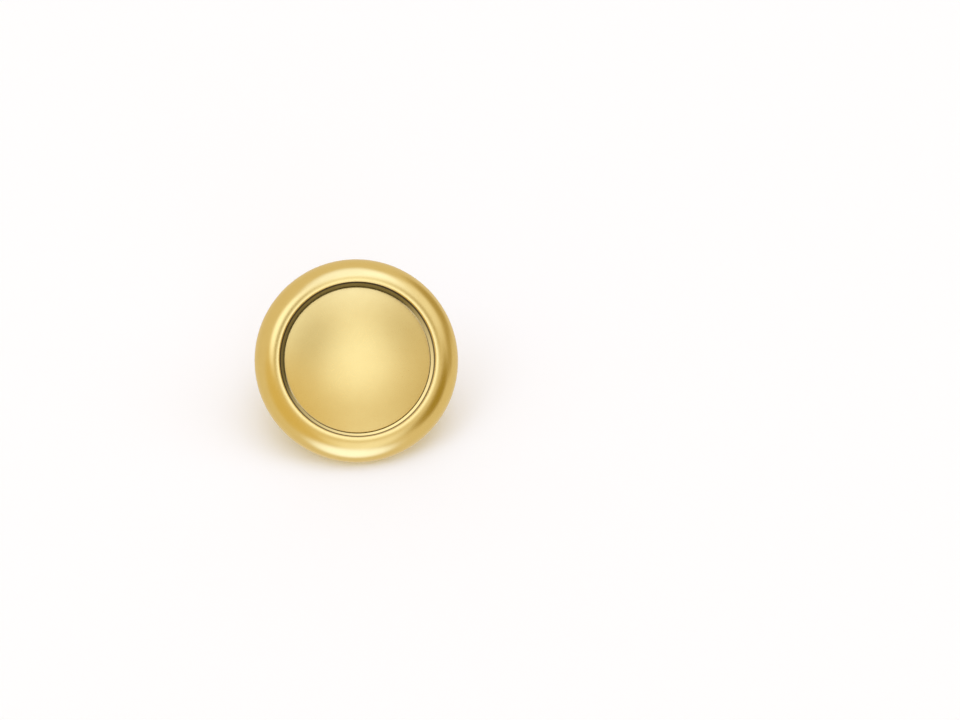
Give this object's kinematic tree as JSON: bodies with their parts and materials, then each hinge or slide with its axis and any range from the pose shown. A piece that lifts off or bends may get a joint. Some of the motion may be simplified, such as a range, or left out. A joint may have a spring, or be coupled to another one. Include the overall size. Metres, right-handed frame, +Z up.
{
  "type": "button earring",
  "caption": "Round gold button ear stud: a rounded ring setting, a low domed centre in a narrow dark groove and a straight post.",
  "frame": {"origin": "on the surface that the earring rests on, under the middle of its bounding box", "axes": "+Z up; the domed face looks along -Y and 45 degrees up, the post runs back to +Y and down to its tip; +X to the viewer's right, across the ring's diameter"},
  "size_m": [0.018, 0.0162, 0.0134],
  "materials": {
    "ring_metal": "polished gold plate over cast brass",
    "dome_metal": "polished gold plate over pressed brass",
    "post_metal": "gold plate over drawn wire and a stamped pad"
  },
  "bodies": {
    "root": {"rim": "ring_metal", "dome": "dome_metal", "ear_post": "post_metal"}
  },
  "joints": []
}
